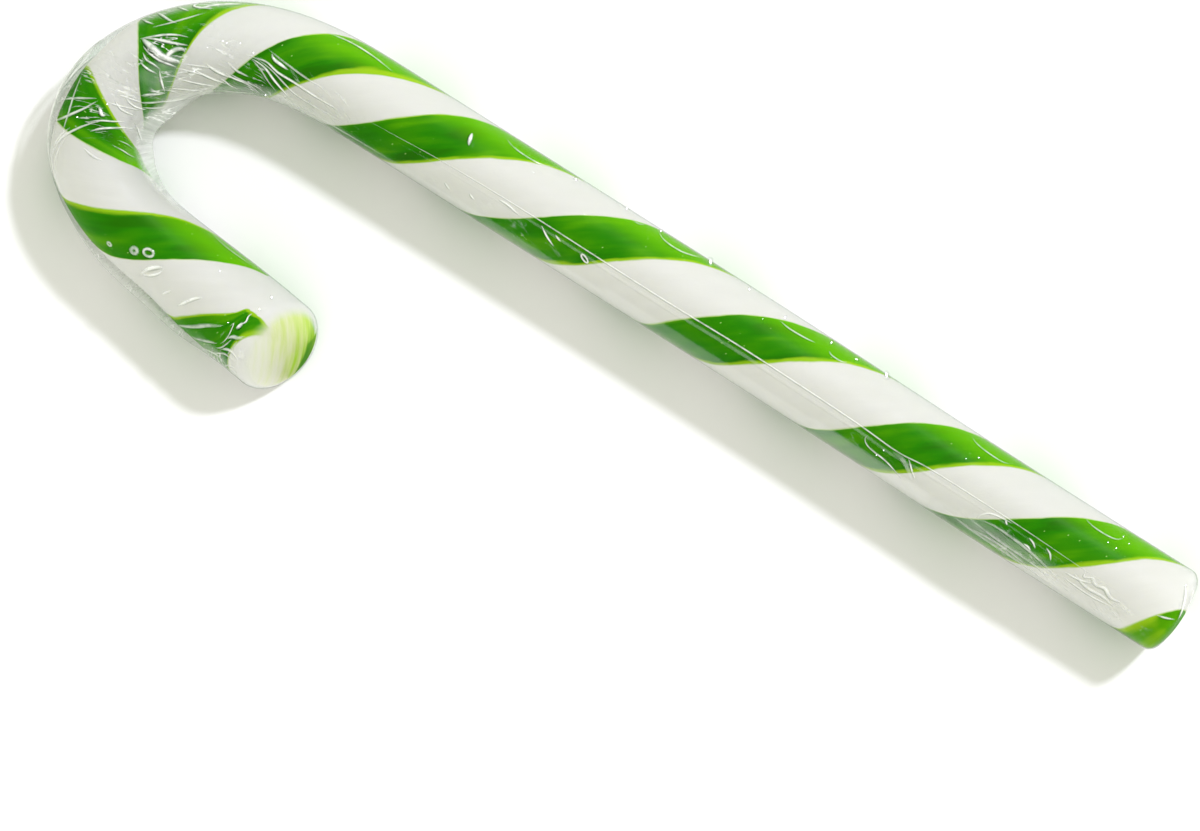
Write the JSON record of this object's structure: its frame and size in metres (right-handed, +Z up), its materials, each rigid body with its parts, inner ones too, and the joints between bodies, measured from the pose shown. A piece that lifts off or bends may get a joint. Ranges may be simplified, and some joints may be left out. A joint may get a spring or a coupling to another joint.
{
  "type": "candy cane",
  "caption": "Striped hard candy cane lying flat: a straight round shaft bent into a crook with a short slant-cut leg, in a tight skin of clear film.",
  "frame": {"origin": "centre of the base of the bounding box, on the surface the cane lies on", "axes": "+X along the straight shaft to its cut end, with the crook at -X; +Z up; the short leg runs back along the shaft on its -Y side"},
  "size_m": [0.1506, 0.0432, 0.011],
  "materials": {
    "white_candy": "opaque white pulled sugar, smooth and glossy, slightly translucent",
    "green_candy": "deep translucent green boiled sugar in wound stripes, with a thin yellow-green edge",
    "clear_film": "thin clear wrapping film, shrunk tight, with a lengthwise seam, wrinkles and glints"
  },
  "bodies": {
    "root": {"candy_cane": "white_candy"}
  },
  "joints": []
}
